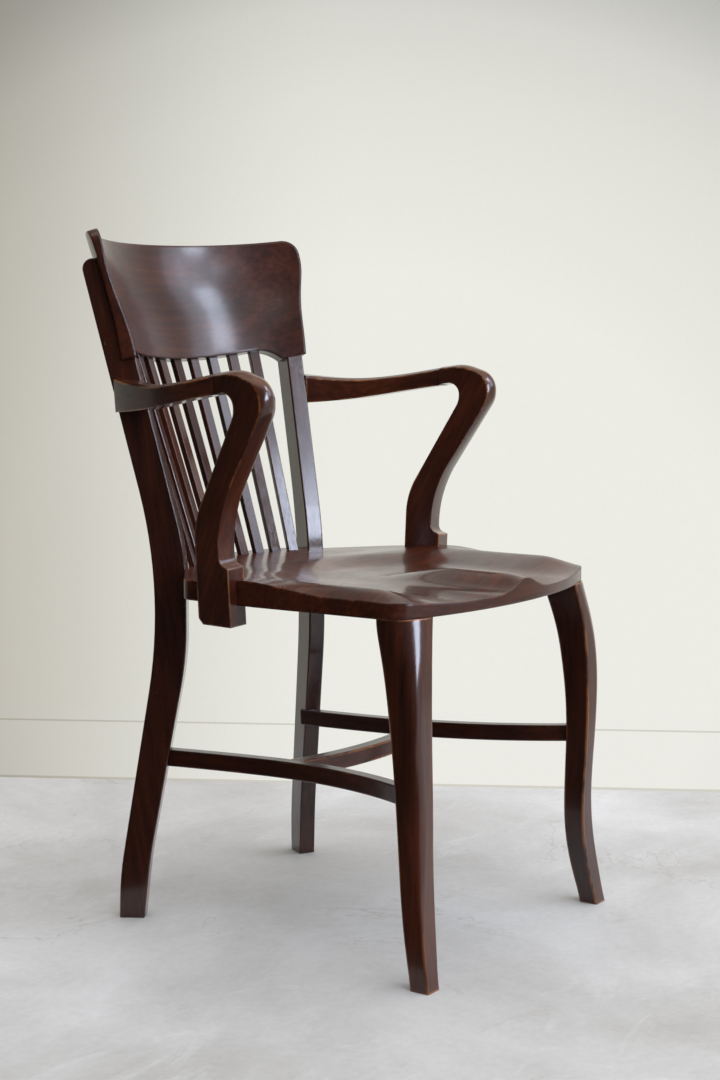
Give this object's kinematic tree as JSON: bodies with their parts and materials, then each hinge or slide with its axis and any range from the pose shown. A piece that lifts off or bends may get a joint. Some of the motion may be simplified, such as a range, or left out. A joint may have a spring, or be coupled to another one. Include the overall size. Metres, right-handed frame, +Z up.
{
  "type": "captains chair",
  "caption": "All-wood captains armchair with a saddle seat, raked slatted back under a curved crest rail, swept arms, shaped front legs and a stretcher frame.",
  "frame": {"origin": "on the floor, under the middle of the overall width and depth", "axes": "+Z up, the chair faces -Y, +X is the left side of a person sitting in it"},
  "size_m": [0.5268, 0.6097, 0.8723],
  "materials": {
    "seat_wood": "dark red-brown mahogany, glossy varnish, worn paler on the edges",
    "crest_wood": "dark red-brown mahogany, glossy varnish",
    "slat_wood": "dark red-brown mahogany, glossy varnish",
    "arm_wood": "dark red-brown mahogany, glossy varnish rubbed to orange-brown on the arrises",
    "leg_wood": "dark red-brown mahogany, glossy varnish, worn arrises",
    "frame_wood": "dark red-brown mahogany, glossy varnish",
    "dowel_wood": "plain beech, hidden"
  },
  "bodies": {
    "root": {"seat": "seat_wood", "crest_rail": "crest_wood", "cross_stretcher": "frame_wood", "slat_1": "slat_wood", "slat_2": "slat_wood", "slat_3": "slat_wood", "slat_4": "slat_wood", "slat_5": "slat_wood", "slat_6": "slat_wood", "slat_7": "slat_wood", "slat_8": "slat_wood", "slat_9": "slat_wood", "rear_post_left": "frame_wood", "rear_post_right": "frame_wood", "front_leg_left": "leg_wood", "front_leg_right": "leg_wood", "side_stretcher_left": "frame_wood", "side_stretcher_right": "frame_wood", "arm_support_left": "arm_wood", "arm_support_right": "arm_wood", "arm_rail_left": "arm_wood", "arm_rail_right": "arm_wood", "crest_dowels": "dowel_wood", "arm_dowels": "dowel_wood", "elbow_dowels": "dowel_wood", "support_dowels": "dowel_wood", "seat_post_dowels": "dowel_wood"}
  },
  "joints": []
}
